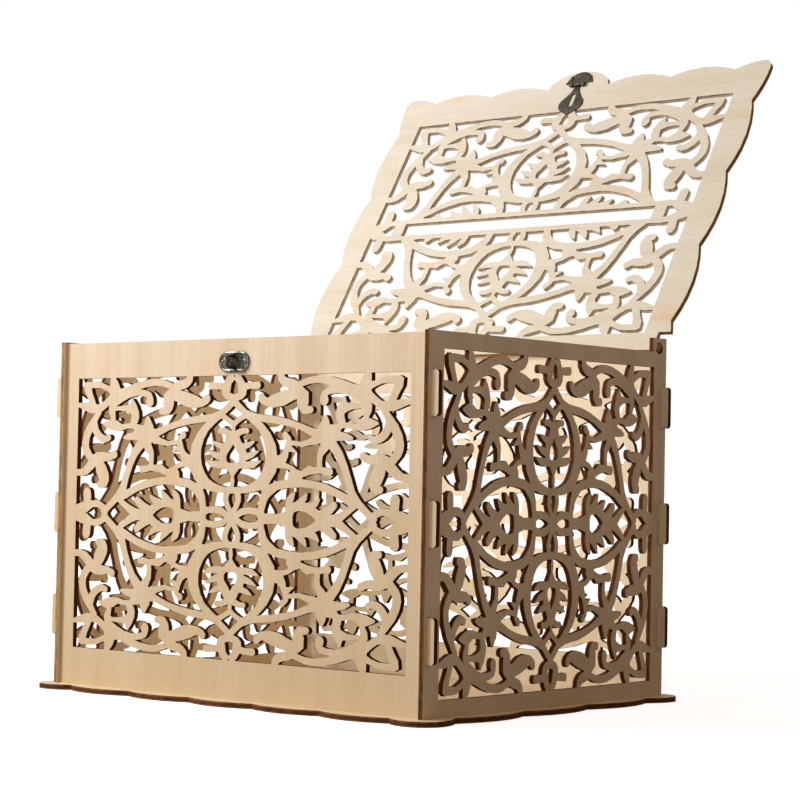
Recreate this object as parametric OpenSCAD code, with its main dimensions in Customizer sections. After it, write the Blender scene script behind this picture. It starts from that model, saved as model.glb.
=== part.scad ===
// Card box of laser-cut plywood: four pierced walls slotted together on a scalloped
// base, a pierced lid with a card slot that turns on tongues in the side panels' ears,
// and a small hasp and staple at the front. X runs along the front, Y towards the rear,
// Z up, with the origin under the middle of the base board.

/* [Box] */
// Width over the side panels' outer faces
box_w = 280; // [230:1:340]
// Depth of the side panels, front edge to rear edge
box_d = 220; // [180:1:280]
// Height of the side panels above the base board
wall_h = 200; // [160:1:260]
// Thickness of the plywood
ply = 3; // [2.5:0.1:4]
// Width of the beam's cut, which closes slits that are narrower
kerf = 0.2; // [0.1:0.05:0.4]

/* [Scalloped rim of the base] */
// How far the base's scallops reach past the walls
base_over = 10; // [8:0.5:16]
// Height of the base's scallops from cusps to crests
base_scallop = 6; // [3:0.5:7]
// Length of the base's corner lobes along the front
base_lobe_front = 29; // [22:0.5:36]
// Length of the base's corner lobes along the sides
base_lobe_side = 32; // [22:0.5:38]
// Radius that rounds the base's corner lobes
base_round = 14; // [6:1:20]
// Scallops along the front between the two corner lobes, on base and lid
front_scallops = 5; // [3:2:9]
// Scallops along each side between the two corner lobes, on base and lid
side_scallops = 3; // [2:1:6]

/* [Scalloped rim of the lid] */
// How far the lid's scallops reach past the side panels' outer faces
lid_over_side = 7; // [6:0.2:14]
// How far the lid's scallops reach past the side panels' front edges
lid_over_front = 5.2; // [4:0.2:14]
// Height of the lid's scallops from cusps to crests
lid_scallop = 5; // [3:0.5:7]
// Length of the lid's corner lobes along the front
lid_lobe_front = 26; // [18:0.5:34]
// Length of the lid's corner lobes along the sides
lid_lobe_side = 32; // [18:0.5:38]
// Radius that rounds the lid's corner lobes
lid_round = 6; // [4:1:16]
// How far the bump that carries the hasp reaches past the side panels' front edges
bump_over = 13.7; // [13:0.1:20]

/* [Wall joints] */
// Distance of the front and back panels from the side panels' edges
panel_inset = 2; // [1:0.5:6]
// Drop of the front panel's top edge below the side panels, for the folded hasp strap
front_drop = 1; // [0.9:0.1:3]
// Length of a tab along the wall
tab_len = 24; // [12:1:32]
// How far the tabs stand out of the side panels
tab_out = 5; // [1:0.5:8]
// Radius of the tabs' outer corners
tab_round = 2; // [0.5:0.5:4]
// Height of the lowest tab's middle above the base board
tab_low = 40; // [22:1:60]
// Depth of the highest tab's middle below the side panel's top edge
tab_high = 32.5; // [20:0.5:60]
// Clearance on each side of a tab in its slot
fit = 0.1; // [0.05:0.05:0.3]
// Distance from the middle to each of the two foot tabs of the front and back panels
foot_apart = 75; // [30:1:100]
// Extra length at each end of the base slots for the side panels' foot tabs
foot_play = 1.6; // [0.2:0.1:4]
// Distance of the foot tabs' ends above the base board's underside
foot_short = 0.2; // [0.1:0.1:1]

/* [Pierced windows] */
// From the side panels' outer faces to the front and back windows
front_side_margin = 13.5; // [8:0.5:30]
// From the base board and from the side panels' top edge to the front and back windows
front_margin = 21.5; // [18.5:0.5:40]
// From the side panels' front and rear edges to their windows
side_end_margin = 12.5; // [10:0.5:30]
// From the side panels' top and bottom edges to their windows
side_margin = 9; // [7:0.5:25]
// From the side panels' outer faces to the lid's window
lid_side_margin = 13.5; // [10:0.5:30]
// From the side panels' front edge to the lid's window
lid_front_margin = 19.5; // [12:0.5:40]
// From the side panels' rear edge to the lid's window
lid_rear_margin = 18; // [16:0.5:40]
// Amount by which every stroke of the filigree is fuller than its drawn line
fullness = 0.6; // [0.2:0.1:1]

/* [Lid] */
// Angle of the open lid above the closed one, where it leans on the back panel
lid_open = 121.4; // [100:0.2:140]
// From the back panel's inner face to the lid's pivot line
pivot_gap = 2.5; // [2.5:0.1:4]
// Height of the pivot line above the side panels' top edge
pivot_rise = 2.3; // [2.2:0.1:4]
// Diameter of the pivot holes in the ears
pivot_d = 7; // [6:0.5:9]
// Wood left round a pivot hole in its ear
ear_wall = 2.4; // [1.5:0.1:5]
// Clearance between the lid and what it turns past
lid_gap = 0.6; // [0.3:0.1:1]
// Clearance of the lid's tongues in the pivot holes
tongue_fit = 0.15; // [0.1:0.05:0.4]
// Gap left where the lid leans on the back panel or rests on the side panels
rest_gap = 0.05; // [0.02:0.01:0.1]
// Length of the card slot
slot_len = 199; // [120:1:220]
// Width of the card slot
slot_w = 10; // [6:0.5:16]
// Width of the frame round the card slot
slot_frame = 3.6; // [2.5:0.1:8]
// Width of the bars at the ends of the card slot
slot_end = 9; // [4:0.5:14]

/* [Hasp] */
// From the side panels' front edge to the hasp's pin
hasp_out = 1.5; // [1.5:0.1:3]
// Thickness of the hasp's plate and of its strap
leaf_t = 0.6; // [0.4:0.05:0.65]
// Gap between the folded strap and the lid
strap_gap = 0.15; // [0.1:0.05:0.2]
// Radius of the rolled knuckles
knuckle_r = 1.3; // [1.1:0.05:1.5]
// Radius of the pin
pin_r = 0.6; // [0.4:0.05:0.7]
// Clearance round the pin
pin_fit = 0.1; // [0.05:0.01:0.15]
// Length of the strap's knuckle
strap_knuckle = 4.4; // [3:0.2:6]
// Open space between the strap's knuckle and each of the plate's
knuckle_gap = 1.3; // [0.2:0.1:2]
// Length of each of the plate's two knuckles
plate_knuckle = 2.4; // [1.5:0.1:4]
// Length of the strap from the pin to its point
strap_len = 25.5; // [23:0.5:32]
// Width of the strap
strap_w = 19; // [14:0.5:24]
// Length of the slot in the strap
eye_len = 10.4; // [9:0.2:12]
// Width of the slot in the strap
eye_w = 3.6; // [2.6:0.1:5]
// Width of the fan-shaped plate
fan_w = 22; // [18:0.5:26]
// Height of the fan-shaped plate
fan_h = 9.6; // [8:0.1:11]

/* [Catch] */
// Height of the catch's middle above the base board
catch_z = 186; // [60:0.5:248]
// Width of the catch's oval plate
catch_w = 24; // [20:0.5:30]
// Height of the catch's oval plate
catch_h = 12.2; // [11:0.1:15]
// Thickness of the oval plate
catch_t = 0.8; // [0.5:0.1:1.2]
// Height of the rim above the oval plate
catch_rim = 0.6; // [0.2:0.1:0.9]
// Width of the rim
rim_w = 1.3; // [0.8:0.1:2]
// Height of the staple
staple_h = 8; // [7.8:0.1:9]
// Thickness of the staple's wire, seen from the side
staple_t = 1.6; // [1.2:0.05:1.7]
// Width of the staple, along the front
staple_w = 2; // [1.2:0.1:2.4]
// How far the staple stands out of the front panel
staple_out = 8.5; // [7.5:0.1:12]
// Distance between the two screws of the catch
catch_screws_apart = 16.8; // [13:0.2:20]

/* [Screws] */
// Diameter of the screw heads
head_d = 3.2; // [2.6:0.1:4]
// Height of the domed screw heads
head_h = 0.8; // [0.4:0.1:1]
// Diameter of the screw shanks
shank_d = 1.4; // [1:0.1:1.6]
// How deep the screws reach into the plywood
screw_depth = 2.4; // [1.5:0.1:2.4]
// Clearance round the screw shanks
shank_fit = 0.1; // [0.05:0.05:0.2]
// Distance between the two screws of the hasp
hasp_screws_apart = 14; // [11:0.5:16]

/* [Hidden] */
$fn = 48;

front_y = -box_d / 2 + panel_inset;        // front panel's front face
back_y = box_d / 2 - panel_inset - ply;    // back panel's inner face
pivot_y = back_y - pivot_gap;
pivot_z = ply + wall_h + pivot_rise;
pivot_back = box_d / 2 - pivot_y;
reach = box_d / 2 + pivot_y;               // pivot line to the side panels' front edges
inner_half = box_w / 2 - ply;              // middle to a side panel's inner face

ear_len = pivot_back + pivot_d / 2 + ear_wall;
ear_rise = pivot_rise + pivot_d / 2 + ear_wall;
lean = lid_open - 90;
back_rise = pivot_rise
    + (pivot_gap * cos(lean) - ply / 2 - rest_gap) / sin(lean);
lid_tail = sqrt(pow(pivot_gap - tongue_fit, 2) - pow(ply / 2, 2));
tongue = sqrt(pow(pivot_d / 2 - tongue_fit, 2) - pow(ply / 2, 2));
notch = norm([pivot_back, ear_rise - pivot_rise]) + 2 * lid_gap;
sag = asin((pivot_rise - ply / 2 - rest_gap) / reach);   // closed lid, front edge down

hasp_y = -reach - hasp_out;                // pin, in the lid's own frame
hasp_z = -ply / 2 - strap_gap - knuckle_r;
pin_z = pivot_z + hasp_z * cos(sag) + hasp_y * sin(sag);  // pin with the lid closed
eye_mid = pin_z - ply - catch_z;           // pin to the middle of the strap's slot
fan_y = hasp_y - knuckle_r - 0.7;          // rear edge of the fan-shaped plate

wood = [0.86, 0.75, 0.62];
bronze = [0.25, 0.23, 0.21];
gunmetal = [0.35, 0.35, 0.36];

// ---- drawing with tapered strokes -------------------------------------------------

// Half width and half height of the drawing from which each window's filigree is made
ART = [126, 79];

function smooth(a, b, c, d, t) =
    0.5 * (2 * b + (c - a) * t + (2 * a - 5 * b + 4 * c - d) * t * t
        + (3 * b - a - 3 * c + d) * t * t * t);

function turn(a, b) = acos(max(-1, min(1, a * b / norm(a) / norm(b))));

// Smooth curve through the points p, each [x, y, width], with more steps where it bends
function curve(p, fine = 25) = let (last = len(p) - 1) [
    for (i = [0 : last - 1]) let (
        a = p[max(i - 1, 0)],
        d = p[min(i + 2, last)],
        bend = turn(flat(p[i + 1] - a), flat(d - p[i])),
        n = max(1, min(3, ceil(bend / fine)))
    ) for (k = [0 : n - 1]) smooth(a, p[i], p[i + 1], d, k / n),
    p[last]
];

function flat(q) = [q.x, q.y];
function unit(v) = v / norm(v);

// Left and right edge points of a stroke at its j-th point
function side_point(q, j, side) = let (
    d = unit(flat(q[min(j + 1, len(q) - 1)]) - flat(q[max(j - 1, 0)]))
) flat(q[j]) + side * (q[j][2] + fullness) / 2 * [-d.y, d.x];

function stretch(s, p) = [for (q = p) [s.x * q.x, s.y * q.y]];

// A stroke along a smooth curve, whose width follows its points; s stretches it
module stroke(s, p) {
    q = curve(p);
    for (j = [0 : len(q) - 2])
        polygon(stretch(s, [side_point(q, j, 1), side_point(q, j + 1, 1),
            side_point(q, j + 1, -1), side_point(q, j, -1)]));
}

// A round end of a stroke
module ball(s, c, r) {
    polygon(stretch(s, [for (a = [0 : 30 : 330])
        c + (r + fullness / 2) * [cos(a), sin(a)]]));
}

// ---- one quarter of the filigree, from the window's middle to its upper right -------

// Four-petalled rosette in the middle
module rosette(s) {
    stroke(s, [[0, -0.8, 1.6], [3, 0.9, 2.8], [7.5, 3.4, 3.4], [13, 4.2, 3.1], [18, 3.9, 3.1],
        [22, 2.6, 3.6]]);
    stroke(s, [[-0.8, 0, 1.6], [0.9, 3, 2.8], [3.3, 6.2, 3.1], [4.8, 9.6, 3.5], [4.4, 13, 3.6],
        [2.6, 15.6, 3.6]]);
}

// Rings of the two medallions, with the chevrons inside their points
module medallions(s) {
    stroke(s, [[-2, 15.1, 3], [5, 15.2, 2.8], [10, 15.7, 3.5], [15, 16.7, 4.4], [19.8, 18.4, 5.8],
        [24.2, 21.6, 7.6], [28.2, 27.4, 8.8], [29, 33.5, 8], [28.3, 39.2, 7.2], [25.2, 45.2, 5.7],
        [20.8, 50.2, 4.2], [15, 54.2, 3.6], [10.5, 57, 3.6]]);
    stroke(s, [[12, 57, 2.4], [7, 55.8, 2.4], [3.2, 53.8, 2.4], [-1, 51.2, 3]]);
    stroke(s, [[21.9, -2, 3.5], [22.1, 5, 4.1], [23.6, 10.8, 5.2], [27, 15, 5.6], [33.5, 18.3, 4.2],
        [42, 19.4, 4], [52, 19.8, 3.7], [60, 19.1, 3.6], [68, 17.5, 3.9], [76, 15, 3.5],
        [83, 12, 4], [89, 9.2, 3.6]]);
    stroke(s, [[91, 8.8, 2.2], [84, 4.8, 3.2], [80, 2.4, 4.2], [76, 1.2, 4], [71, 0, 5.4]]);
    stroke(s, [[21, 19.2, 3], [24.6, 17.2, 6], [28.6, 15.4, 4]]);
}

// Pointed frame round the medallions
module ogee(s) {
    stroke(s, [[-2, 66.4, 3.4], [4, 61.5, 3.4], [9, 58, 3.2], [16, 55.8, 3.4], [24, 54.8, 3.4],
        [32, 54.1, 3.5], [41, 52.6, 3.2], [50, 50.4, 3], [58, 47.6, 3.6], [66, 45.5, 6]]);
    stroke(s, [[66, 45.8, 6], [73.6, 40, 5.6], [77.9, 35.2, 4.8], [81.5, 28.8, 4.3], [84.6, 21.4, 4.2],
        [86.8, 14.8, 5], [91.3, 9.8, 4], [97, 5.3, 3.6], [104, 0, 3.4]]);
}

// Palmette with five pairs of leaves in the upper medallion
module upper_palmette(s) {
    stroke(s, [[-2, 28.4, 3], [4, 28.6, 3], [7.4, 31.6, 4.6], [7.2, 36.4, 5.2], [3.8, 40.4, 5.2],
        [1.6, 44, 5.6], [0, 47.6, 2.2], [0, 52, 2.6]]);
    stroke(s, [[0.5, 43.5, 4.6], [3.4, 46.8, 3.4], [7, 48.1, 2.8], [10.3, 48.1, 2.4]]);
    ball(s, [10.3, 48.1], 1.3);
    stroke(s, [[4, 38.6, 4], [8.4, 39.5, 3], [12.4, 40.6, 2.4], [16.2, 42.2, 0.1]]);
    stroke(s, [[6, 34.4, 4], [10.6, 34, 3.4], [14.8, 35, 2.6], [19.4, 37, 0.1]]);
    stroke(s, [[3, 29, 2.2], [9, 29.1, 3.4], [16, 29.6, 3], [21.2, 31.5, 0.1]]);
    stroke(s, [[0, 29, 9], [0, 26.4, 7.6], [0, 23, 1.4], [0, 20.3, 2.6], [0, 16, 1.2]]);
}

// Palmette with four pairs of leaves in the right medallion
module right_palmette(s) {
    stroke(s, [[42.8, -3, 4.6], [42.6, 2, 5], [44.6, 5.8, 4.6], [49.5, 7.4, 4.6], [55, 6.8, 4.4],
        [60, 4.6, 4.4], [64.5, 1.8, 5.4], [71, 0.4, 6.4]]);
    stroke(s, [[42.7, 2, 5], [42.6, 9, 4.4], [44.3, 12, 3.6], [46.5, 14.6, 0.6]]);
    stroke(s, [[48.6, 7.6, 4], [51.6, 10, 3.6], [53.9, 12, 2.8], [55.4, 14.4, 0.4]]);
    stroke(s, [[54.6, 6.8, 4], [58.8, 7.6, 3.6], [61.9, 9, 3], [64.5, 11.4, 0.4]]);
    stroke(s, [[64, 1.6, 6], [69, 4, 5], [72.4, 6.2, 4.2], [74.6, 8, 3.8]]);
    ball(s, [74.8, 8.1], 1.9);
    stroke(s, [[20, 0, 5], [27, 0, 5.2], [33, 0, 4.6], [38, 0, 6.8], [43, 0, 9]]);
}

// Trailing stems between the medallions
module spandrel(s) {
    stroke(s, [[62, 43.4, 5], [57, 42.2, 3], [51, 40.8, 2.2], [46, 41.4, 1.9], [41, 41.6, 2.4]]);
    stroke(s, [[42.2, 40.6, 2.6], [41.6, 43.8, 2.8], [39.2, 45.7, 2.6]]);
    ball(s, [38.8, 45.7], 1.8);
    stroke(s, [[39.8, 40.6, 2.6], [42.4, 38.4, 3], [47.4, 36.5, 0.1]]);
    stroke(s, [[30, 31, 6.4], [33.6, 31.2, 6.4], [36.8, 32.4, 6], [39.2, 35.4, 4], [40.2, 38.6, 2.8],
        [41, 43, 1.4]]);
    stroke(s, [[34, 29.6, 3], [39.5, 29.1, 2.2], [43.4, 28, 2.2], [46.6, 25, 4.4]]);
    stroke(s, [[46.6, 27, 5.4], [46.6, 24.6, 9.4], [46.6, 20, 10.4]]);
    stroke(s, [[46, 24, 3], [52, 24.8, 3], [56.8, 26.9, 4.4], [60.5, 26.8, 3.2], [64.4, 27.1, 3],
        [68, 26.4, 3.2], [71, 26.1, 3.4]]);
    ball(s, [71.4, 26.2], 1.9);
    stroke(s, [[68.6, 44, 8], [67, 39, 5.4], [64.2, 35.4, 3.6], [63.9, 31.4, 3], [64.4, 27, 2.8]]);
}

// Star of leaves where the frame's two sides meet
module star(s) {
    stroke(s, [[59.5, 45, 6], [66, 45.6, 9], [72, 47.2, 8.6], [79.4, 50.8, 1.4]]);
    stroke(s, [[67, 45, 7], [67, 50.6, 7.4], [67.7, 53.8, 4.6], [67.6, 56.6, 1]]);
    stroke(s, [[71, 46, 7], [78, 45.3, 4.4], [83.6, 44.7, 3], [87.2, 44, 0.8]]);
}

// Curled leaf round an opening, between the star and the corner
module curled_leaf(s) {
    stroke(s, [[71, 49, 4], [76, 50.4, 2.6], [80, 51.2, 2.6], [85, 50.9, 2.4], [89, 50.1, 3],
        [93.5, 51.2, 5.4], [98.4, 52, 5.4], [102, 52, 2.8], [104.8, 52, 0.4]]);
    stroke(s, [[80.4, 52, 3], [78.2, 54.6, 5.4], [78, 58, 5.6], [80.2, 62, 6],
        [80.8, 66.8, 0.4]]);
    stroke(s, [[81, 60.6, 5], [86, 61.2, 2.8], [92, 61.2, 1.8], [98, 60.8, 3]]);
    stroke(s, [[97.6, 62.4, 4.4], [97.2, 58.9, 4.6], [95.6, 54.2, 2.4]]);
}

// Corner leaf with its loop, and the scrolls that run from it along the top
module corner(s) {
    stroke(s, [[98.4, 81, 1], [96.2, 75.6, 6.4], [94.6, 71, 8.8], [96.4, 66, 6.8], [98.2, 62, 4.2]]);
    stroke(s, [[46, 72.6, 2.8], [51, 74.2, 3], [56, 75.5, 3.2], [62, 76, 3.4], [70, 75.3, 3.6],
        [78, 73.5, 3.9], [86, 71, 4], [94, 69.4, 4.6]]);
    stroke(s, [[66, 65.4, 4.6], [66.8, 68.4, 3.6], [71, 69.8, 3], [77, 70.4, 3.4], [84, 69.2, 3.6],
        [90, 66.8, 3.8], [97, 63.2, 3.6]]);
    ball(s, [66.4, 64.8], 2.8);
    stroke(s, [[97, 71.4, 3.6], [102, 73.2, 2.6], [107, 74.9, 2.9], [113, 75.2, 3.2], [119.6, 75, 3.2]]);
    stroke(s, [[120, 76.6, 2.6], [118.2, 73, 5.6], [116.3, 69, 4.2], [112.8, 62.6, 4]]);
    stroke(s, [[97, 67.6, 4.6], [102, 64.2, 3.8], [106, 61.8, 3.8], [110, 61, 4.6], [115, 61.3, 5],
        [120, 62.4, 3.8], [128, 63.8, 1.2]]);
}

// Scroll that runs down the side from the corner, and the leaves that hang from it
module side_scroll(s) {
    stroke(s, [[107.4, 60, 3], [111.8, 54.6, 4], [115.6, 49.8, 5], [118.4, 45, 5], [119.3, 40.6, 5.3],
        [118.2, 36.4, 5], [115.2, 33, 4.4], [112, 30.8, 4]]);
    stroke(s, [[112, 53, 4], [110.8, 48.4, 4.6], [107.2, 44.8, 4.2], [102.8, 43.2, 3.6],
        [99.8, 43.9, 2.8]]);
    ball(s, [99.6, 44.1], 1.6);
    stroke(s, [[94.5, 34.6, 3.8], [98, 32.9, 3.8], [103, 33.1, 5], [108, 32.4, 6], [112.6, 31, 5.2]]);
    ball(s, [94.5, 34.4], 2.1);
    stroke(s, [[108.4, 31, 5], [105.4, 25.8, 8], [103, 21.4, 8], [102.8, 18, 5.6], [106, 17, 3.4]]);
    ball(s, [106.6, 17], 1.8);
    stroke(s, [[109.6, 31, 3.6], [114.2, 28.2, 5.6], [118.2, 25, 5], [122, 23.6, 3.6], [128, 23.7, 3]]);
}

// Flowers that join the frame's points to the window's edge
module edge_flowers(s) {
    stroke(s, [[99, 0.8, 5], [103, 3.6, 3.2], [107.5, 5.6, 3.6], [112, 5.4, 3.2], [117.6, 3.4, 5.6],
        [121.5, 2.6, 6], [128, 1, 5]]);
    stroke(s, [[116.4, 4.6, 5], [116.5, 8.6, 5.8], [116.8, 12, 5.9]]);
    ball(s, [116.8, 11.8], 2.9);
    stroke(s, [[-1, 66.4, 3], [3.6, 67.2, 3.6], [6, 69.4, 6], [5.8, 72.6, 5.8], [4.2, 76, 4.4],
        [1, 79, 4.4]]);
    stroke(s, [[7, 72.6, 3.4], [12, 73.2, 3], [17.4, 73.3, 3.4]]);
    ball(s, [17.8, 73.3], 1.8);
}

// Leaves between the upper flower and the corner's scroll
module top_leaves(s) {
    stroke(s, [[20.8, 65.8, 4.2], [24.6, 63.9, 4], [29.8, 64.4, 6.6], [36.4, 65.8, 7.6], [42, 67.6, 6.4],
        [48, 69.6, 6.6]]);
    ball(s, [20.7, 66.2], 2.2);
    stroke(s, [[34.3, 81, 4.4], [35, 77, 4.6], [38.6, 74.6, 4.6], [43, 73.8, 4.6], [48, 71.4, 6.4]]);
    stroke(s, [[47.4, 70.4, 6], [51, 67, 8.6], [51.2, 63, 7.6], [52, 60, 5], [56.4, 59.5, 3.4]]);
    ball(s, [56.8, 59.5], 1.7);
    ball(s, [48.5, 71.3], 1.6);
}

module quarter(s) {
    rosette(s);
    medallions(s);
    ogee(s);
    upper_palmette(s);
    right_palmette(s);
    spandrel(s);
    star(s);
    curled_leaf(s);
    corner(s);
    side_scroll(s);
    edge_flowers(s);
    top_leaves(s);
}

// Filigree that fills a window w by h, drawn round the window's middle
module filigree(w, h) {
    for (i = [-1, 1]) for (j = [-1, 1])
        quarter([i * w / 2 / ART.x, j * h / 2 / ART.y]);
}

// ---- plywood ----------------------------------------------------------------------

// A sheet cut to the outline drawn by its children
module sheet() {
    linear_extrude(ply) offset(delta = 0) children();
}

// What the beam cuts out of a sheet, through and through
module cut_out() {
    translate([0, 0, -ply]) linear_extrude(3 * ply)
        offset(delta = kerf / 2) offset(delta = -kerf / 2) children();
}

// The openings of a window w by h filled with filigree
module openings(w, h) {
    difference() {
        square([w, h], center = true);
        filigree(w, h);
    }
}

// Outward distances of the scallops: a scallop between two cusps, the half lobe that
// ends at a corner, and the bump for the hasp
function arch(t, h) = h * (1 - pow(2 * t - 1, 2));
function half_lobe(t, h) = h * (1 - t * t);

// Points [along, outward] of one edge between its corner arcs, outward from the cusps
function edge(half, lobe, r, count, h, middle) = let (
    ends = half - lobe,
    pitch = 2 * ends / count,
    arc = half - r
) concat(
    [for (k = [0 : 3]) [-arc + (arc - ends) * k / 4, half_lobe(k / 4, h)]],
    [for (i = [0 : count - 1]) for (k = [0 : 7]) let (
        a = 180 * k / 8,
        t = (1 - cos(a)) / 2,
        raised = middle > 0 && i == (count - 1) / 2
    ) [-ends + pitch * (i + t), raised ? middle * sin(a) : arch(t, h)]],
    [for (k = [0 : 4]) [ends + (arc - ends) * k / 4, half_lobe(1 - k / 4, h)]]
);

// A rim's outline, anticlockwise from the front left. half is the distance of the crests
// from the middle, h the scallops' height and middle the height of the front's middle one.
function rim(half, lobes, r, h, middle) = let (
    front = edge(half.x, lobes.x, r, front_scallops, h, middle),
    side = edge(half.y, lobes.y, r, side_scallops, h, 0),
    rear = edge(half.x, lobes.x, r, front_scallops, h, 0),
    arc = [15 : 15 : 75],
    x = half.x - h,
    y = half.y - h,
    cx = half.x - r,
    cy = half.y - r
) concat(
    [for (p = front) [p.x, -y - p.y]],
    [for (a = arc) [cx + r * sin(a), -cy - r * cos(a)]],
    [for (p = side) [x + p.y, p.x]],
    [for (a = arc) [cx + r * cos(a), cy + r * sin(a)]],
    [for (p = rear) [-p.x, y + p.y]],
    [for (a = arc) [-cx - r * sin(a), cy + r * cos(a)]],
    [for (p = side) [-x - p.y, -p.x]],
    [for (a = arc) [-cx - r * cos(a), -cy - r * sin(a)]]
);

// Heights of the wall tabs' middles above the base board
tab_heights = [tab_low, wall_h / 2, wall_h - tab_high];

module tab(out, len) {
    // stands out along +X from the origin, with rounded outer corners
    translate([0, -len / 2]) square([out - tab_round, len]);
    for (k = [-1, 1])
        translate([out - tab_round, k * (len / 2 - tab_round)]) circle(tab_round, $fn = 24);
    translate([0, -len / 2 + tab_round]) square([out, len - 2 * tab_round]);
}

module base_board() {
    color(wood) difference() {
        sheet() polygon(rim([box_w / 2 + base_over, box_d / 2 + base_over],
            [base_lobe_front, base_lobe_side], base_round, base_scallop, 0));
        cut_out() for (k = [-1, 1]) {
            translate([k * (inner_half + ply / 2), 0])
                square([ply + 2 * fit, tab_len + 2 * foot_play], center = true);
            for (y = [front_y + ply / 2, back_y + ply / 2])
                translate([k * foot_apart, y])
                    square([tab_len + 2 * fit, ply + 2 * fit], center = true);
        }
    }
}

module foot_tab(x) {
    translate([x - tab_len / 2, foot_short - ply]) square([tab_len, ply]);
}

// Front or back panel lying flat, its foot on the X axis, up to the given height
module cross_panel(height) {
    difference() {
        sheet() {
            translate([fit - inner_half, 0]) square([2 * (inner_half - fit), height]);
            for (k = [0, 1]) mirror([k, 0]) for (z = tab_heights)
                translate([inner_half - 2 * fit, z]) tab(ply + 2 * fit + tab_out, tab_len);
            for (k = [-1, 1]) foot_tab(k * foot_apart);
        }
        cut_out() translate([0, wall_h / 2])
            openings(box_w - 2 * front_side_margin, wall_h - 2 * front_margin);
        children();
    }
}

module front_panel() {
    color(wood) translate([0, front_y + ply, ply]) rotate([90, 0, 0])
        cross_panel(wall_h - front_drop)
            for (k = [-1, 1]) translate([k * catch_screws_apart / 2, catch_z, -1]) screw_hole();
}

module back_panel() {
    color(wood) translate([0, back_y + ply, ply]) rotate([90, 0, 0])
        cross_panel(wall_h + back_rise);
}

// A side panel with its inner or outer face at x = 0, reaching to x = ply
module side_panel() {
    difference() {
        rotate([90, 0, 90]) sheet() {
            translate([-box_d / 2, 0]) square([box_d, wall_h]);
            translate([box_d / 2 - ear_len, wall_h - 1]) square([ear_len, ear_rise + 1]);
            foot_tab(0);
        }
        rotate([90, 0, 90]) cut_out() {
            translate([0, wall_h / 2])
                openings(box_d - 2 * side_end_margin, wall_h - 2 * side_margin);
            for (z = tab_heights) for (y = [front_y + ply / 2, back_y + ply / 2])
                translate([y, z]) square([ply + 2 * fit, tab_len + 2 * fit], center = true);
        }
        translate([-1, pivot_y, wall_h + pivot_rise]) rotate([0, 90, 0])
            cylinder(d = pivot_d, h = ply + 2);
    }
}

module left_panel() {
    color(wood) translate([-box_w / 2, 0, ply]) side_panel();
}

module right_panel() {
    color(wood) translate([inner_half, 0, ply]) side_panel();
}

// ---- lid, drawn flat with the pivot line along X ----------------------------------

// Puts what is drawn in the closed lid's frame where the open lid is
module on_lid() {
    translate([0, pivot_y, pivot_z]) rotate([-lid_open, 0, 0]) children();
}

module lid() {
    w = box_w - 2 * lid_side_margin;
    h = box_d - lid_front_margin - lid_rear_margin;
    mid = pivot_back - lid_rear_margin - h / 2;
    body_half = inner_half - lid_gap;
    tongue_end = box_w / 2 - rest_gap;
    color(wood) on_lid() translate([0, 0, -ply / 2]) difference() {
        sheet() {
            difference() {
                translate([0, -pivot_y])
                    polygon(rim([box_w / 2 + lid_over_side, box_d / 2 + lid_over_front],
                        [lid_lobe_front, lid_lobe_side], lid_round, lid_scallop,
                        bump_over - lid_over_front + lid_scallop));
                translate([-box_w, lid_tail]) square([2 * box_w, box_d]);
                for (k = [0, 1]) mirror([k, 0]) translate([body_half, -notch]) square(box_d);
            }
            translate([-tongue_end, -tongue]) square([2 * tongue_end, tongue + lid_tail]);
        }
        cut_out() translate([0, mid]) {
            difference() {
                openings(w, h);
                square([slot_len + 2 * slot_end, slot_w + 2 * slot_frame], center = true);
            }
            square([slot_len, slot_w], center = true);
        }
        for (k = [-1, 1])
            translate([k * hasp_screws_apart / 2, fan_y - fan_h / 2, -1]) screw_hole();
    }
}

// ---- screws -----------------------------------------------------------------------

// Pilot hole through the plywood
module screw_hole() {
    cylinder(r = shank_d / 2 + shank_fit, h = ply + 2);
}

// Screw whose head rests on z = 0 of a plate t thick, pointing down into the wood
module screw(t) {
    cylinder(d = head_d, h = head_h / 2);
    translate([0, 0, head_h / 2]) cylinder(d1 = head_d, d2 = head_d * 0.6, h = head_h / 2);
    translate([0, 0, -t - screw_depth]) cylinder(d = shank_d, h = t + screw_depth);
}

// ---- hasp, drawn in the lid's frame -----------------------------------------------

module along_pin(from, len) {
    translate([from, hasp_y, hasp_z]) rotate([0, 90, 0]) linear_extrude(len) children();
}

module hasp_plate() {
    start = strap_knuckle / 2 + knuckle_gap;
    color(bronze) on_lid() {
        difference() {
            union() {
                translate([0, fan_y, -ply / 2 - leaf_t]) linear_extrude(leaf_t) difference() {
                    intersection() {
                        translate([0, fan_h * 0.3]) scale([fan_w / fan_h / 2.6, 1])
                            circle(fan_h * 1.3);
                        translate([-fan_w / 2, -fan_h]) square([fan_w, fan_h]);
                    }
                    for (k = [-1, 1]) translate([k * hasp_screws_apart / 2, -fan_h / 2])
                        circle(shank_d / 2 + shank_fit);
                }
                for (k = [0, 1]) mirror([k, 0, 0]) {
                    along_pin(start, plate_knuckle) circle(knuckle_r);
                    translate([start, fan_y - 1, -ply / 2 - strap_gap - leaf_t])
                        cube([plate_knuckle, hasp_y - fan_y + 1, leaf_t]);
                }
            }
            along_pin(-box_w / 8, box_w / 4) circle(pin_r + pin_fit);
        }
    }
}

module hasp_pin() {
    len = strap_knuckle + 2 * (knuckle_gap + plate_knuckle);
    color(bronze) on_lid() along_pin(-len / 2, len) circle(pin_r);
}

// Outline of the strap's right half, [across, away from the pin]
strap_half = [[0.11, 0], [0.11, 0.1], [0.16, 0.2], [0.3, 0.36], [0.44, 0.48], [0.5, 0.6],
    [0.47, 0.72], [0.34, 0.83], [0.16, 0.9], [0.06, 0.95], [0, 1]];

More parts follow.
